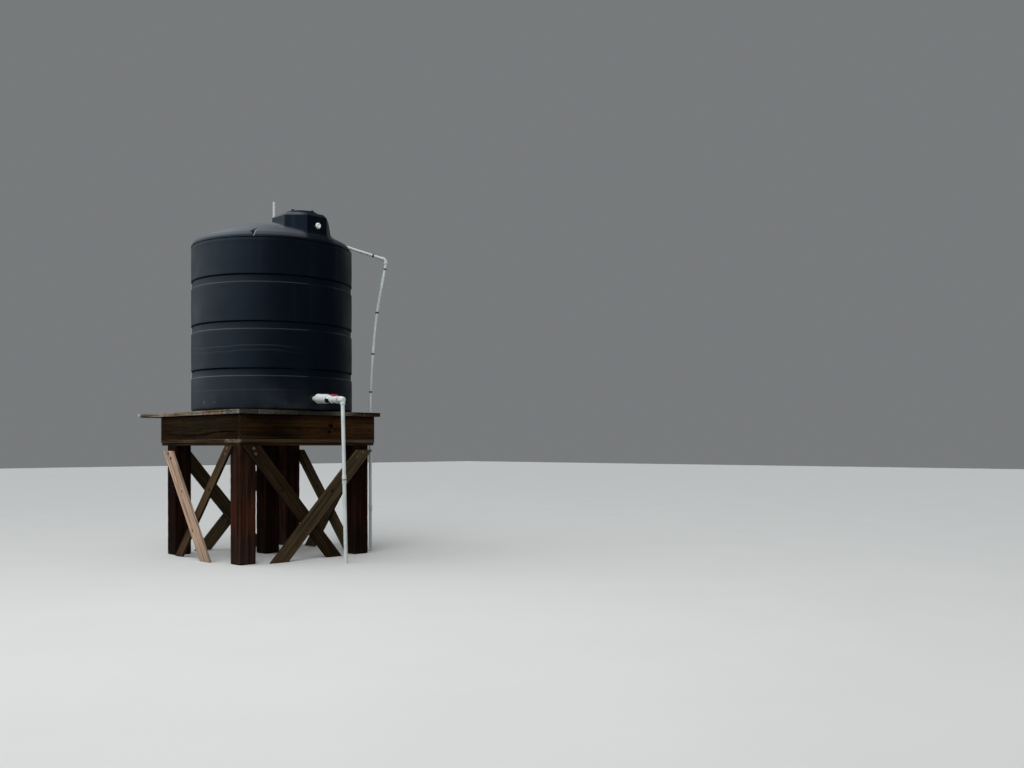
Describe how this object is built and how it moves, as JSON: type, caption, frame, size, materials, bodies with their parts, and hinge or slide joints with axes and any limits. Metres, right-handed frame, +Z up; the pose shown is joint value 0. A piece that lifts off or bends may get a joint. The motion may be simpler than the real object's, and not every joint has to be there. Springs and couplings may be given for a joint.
{
  "type": "farm water tower with plastic tank on timber stand",
  "caption": "Banded plastic water tank with a domed top and manway turret on a braced timber stand, with a valved outlet and drop pipe and a fill riser.",
  "frame": {"origin": "ground level, at the middle of the centre post's foot, under the stand's centre", "axes": "+Z up; -Y is the front, where the outlet and drop pipe stand; the fill riser is on the +X side"},
  "size_m": [2.5776, 3.6141, 4.988],
  "materials": {
    "post_timber": "rough dark reddish brown, dry",
    "board_timber": "weathered brown planks with grain",
    "deck_timber": "grey weathered boards",
    "brace_timber": "brown planks, semi-dry",
    "prop_timber": "pinkish fresh plank",
    "tank_plastic": "black moulded plastic, satin, dusty",
    "pipe_plastic": "white pipe plastic, slightly glossy",
    "handle_plastic": "red moulded plastic"
  },
  "bodies": {
    "tower": {"post_front_left": "post_timber", "post_front_right": "post_timber", "post_back_left": "post_timber", "post_back_right": "post_timber", "post_centre": "post_timber", "cap_front": "board_timber", "cap_left": "board_timber", "cap_right": "board_timber", "cap_back": "board_timber", "cap_middle": "board_timber", "rim_front": "board_timber", "rim_back": "board_timber", "rim_left": "board_timber", "rim_right": "board_timber", "joist_1": "board_timber", "joist_2": "board_timber", "joist_3": "board_timber", "deck_board_1": "deck_timber", "deck_board_2": "deck_timber", "deck_board_3": "deck_timber", "deck_board_4": "deck_timber", "deck_board_5": "deck_timber", "deck_board_6": "deck_timber", "deck_board_7": "deck_timber", "deck_board_8": "deck_timber", "deck_board_long": "deck_timber", "brace_front_inner": "brace_timber", "brace_front_outer": "brace_timber", "brace_left": "brace_timber", "prop_left": "prop_timber", "brace_back_inner": "brace_timber", "brace_back_outer": "brace_timber", "brace_right_inner": "brace_timber", "brace_right_outer": "brace_timber", "tank_floor": "tank_plastic", "tank_wall_1": "tank_plastic", "tank_wall_2": "tank_plastic", "tank_wall_3": "tank_plastic", "tank_wall_4": "tank_plastic", "tank_wall_5": "tank_plastic", "tank_wall_6": "tank_plastic", "tank_dome": "tank_plastic", "manway_turret": "tank_plastic", "turret_fitting": "pipe_plastic", "vent_pipe": "pipe_plastic", "outlet_fitting": "pipe_plastic", "outlet_valve": "pipe_plastic", "drop_pipe": "pipe_plastic", "riser_pipe": "pipe_plastic", "fill_elbow": "pipe_plastic", "fill_pipe": "pipe_plastic"},
    "lid": {"manway_lid": "tank_plastic"},
    "handle": {"valve_handle": "handle_plastic"}
  },
  "joints": [
    {"name": "valve_turn", "type": "hinge", "parent": "tower", "child": "handle", "pos_m": [-0.018, -1.6322, 2.1927], "axis": [0, -0.0436, 0.999], "range_deg": [0, 90]},
    {"name": "lid_turn", "type": "hinge", "parent": "tower", "child": "lid", "pos_m": [0.1, -0.705, 4.69], "axis": [0, 0, 1], "range_deg": [0, 360]}
  ]
}
